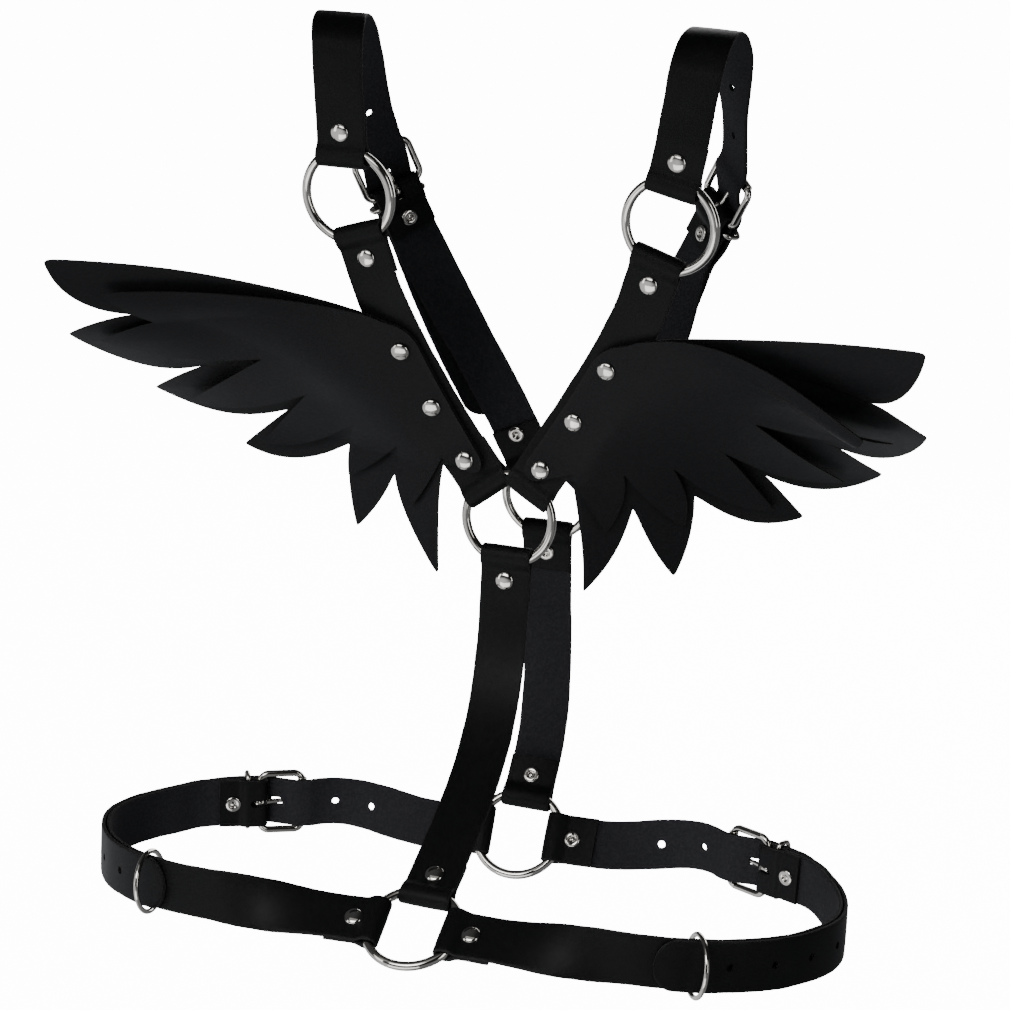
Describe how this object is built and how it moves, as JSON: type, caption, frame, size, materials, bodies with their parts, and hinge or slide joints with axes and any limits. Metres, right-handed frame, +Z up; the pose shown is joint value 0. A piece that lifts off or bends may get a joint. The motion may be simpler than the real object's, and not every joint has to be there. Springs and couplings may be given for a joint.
{
  "type": "angel wing harness",
  "caption": "Black leather body harness of riveted straps, rings and buckles, with layered feather-cut wings on the back straps, worn over the shoulders and round the waist.",
  "frame": {"origin": "where the harness sits on the shoulders, midway between the undersides of the two shoulder straps", "axes": "+Z up, -Y towards the winged back of the harness, +Y towards the chest, +X to the wearer's right"},
  "size_m": [0.424, 0.2371, 0.4402],
  "materials": {
    "strap_leather": "smooth, fine grain",
    "wing_leather": "smooth, fine grain",
    "hardware": "polished nickel plate"
  },
  "bodies": {
    "root": {"strap_spine": "strap_leather", "strap_sternum": "strap_leather", "strap_shoulder_left": "strap_leather", "strap_chest_left": "strap_leather", "strap_wing_left": "strap_leather", "belt_back_left": "strap_leather", "belt_front_left": "strap_leather", "strap_shoulder_right": "strap_leather", "strap_chest_right": "strap_leather", "strap_wing_right": "strap_leather", "belt_back_right": "strap_leather", "belt_front_right": "strap_leather", "wing_rear_left": "wing_leather", "wing_front_left": "wing_leather", "wing_rear_right": "wing_leather", "wing_front_right": "wing_leather", "ring_back": "hardware", "ring_chest": "hardware", "ring_waist_back": "hardware", "ring_waist_front": "hardware", "ring_shoulder_left": "hardware", "ring_shoulder_right": "hardware", "keeper_shoulder_left": "hardware", "keeper_buckle_left": "hardware", "keeper_tail_left": "hardware", "keeper_shoulder_right": "hardware", "keeper_buckle_right": "hardware", "keeper_tail_right": "hardware", "buckle_shoulder_left": "hardware", "buckle_waist_left": "hardware", "buckle_shoulder_right": "hardware", "buckle_waist_right": "hardware", "prong_shoulder_left": "hardware", "prong_waist_left": "hardware", "prong_shoulder_right": "hardware", "prong_waist_right": "hardware", "rivet_spine_top": "hardware", "rivet_spine_low": "hardware", "rivet_sternum_top": "hardware", "rivet_sternum_low": "hardware", "rivet_wing_left_1": "hardware", "rivet_wing_left_2": "hardware", "rivet_wing_left_3": "hardware", "rivet_wing_strap_left": "hardware", "rivet_chest_top_left": "hardware", "rivet_chest_low_left": "hardware", "rivet_shoulder_left": "hardware", "rivet_belt_back_left": "hardware", "rivet_belt_heel_left": "hardware", "rivet_belt_front_left": "hardware", "rivet_wing_right_1": "hardware", "rivet_wing_right_2": "hardware", "rivet_wing_right_3": "hardware", "rivet_wing_strap_right": "hardware", "rivet_chest_top_right": "hardware", "rivet_chest_low_right": "hardware", "rivet_shoulder_right": "hardware", "rivet_belt_back_right": "hardware", "rivet_belt_heel_right": "hardware", "rivet_belt_front_right": "hardware"}
  },
  "joints": []
}
